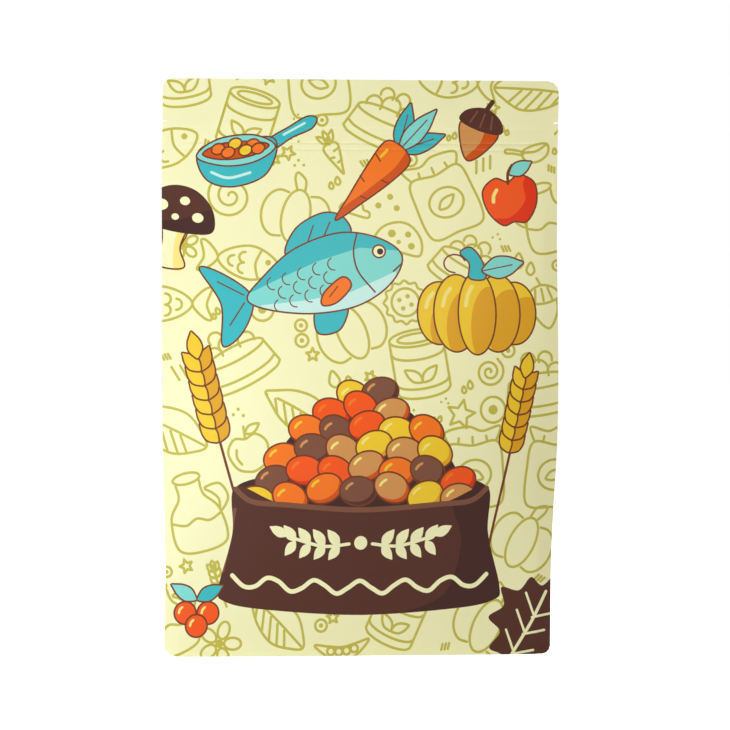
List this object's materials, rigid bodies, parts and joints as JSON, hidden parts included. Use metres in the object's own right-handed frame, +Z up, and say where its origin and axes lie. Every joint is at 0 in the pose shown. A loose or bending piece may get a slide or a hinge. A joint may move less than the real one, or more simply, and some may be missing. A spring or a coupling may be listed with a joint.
{
  "type": "flat bottom pet food bag",
  "caption": "Standing quad seal film pouch for dry pet food, full and sealed, with side gussets, a flat bottom, a press zipper and tear notches.",
  "frame": {"origin": "middle of the bag's flat base, on the surface that it stands on", "axes": "+Z up along the bag's height, which is its longest side; the printed front faces -Y and the depth of the bag runs along Y"},
  "size_m": [0.2, 0.0998, 0.286],
  "materials": {
    "printed_film": "matte laminated film with a soft broad sheen, cream ground with olive line drawings and flat coloured print"
  },
  "bodies": {
    "root": {"pouch": "printed_film"}
  },
  "joints": []
}
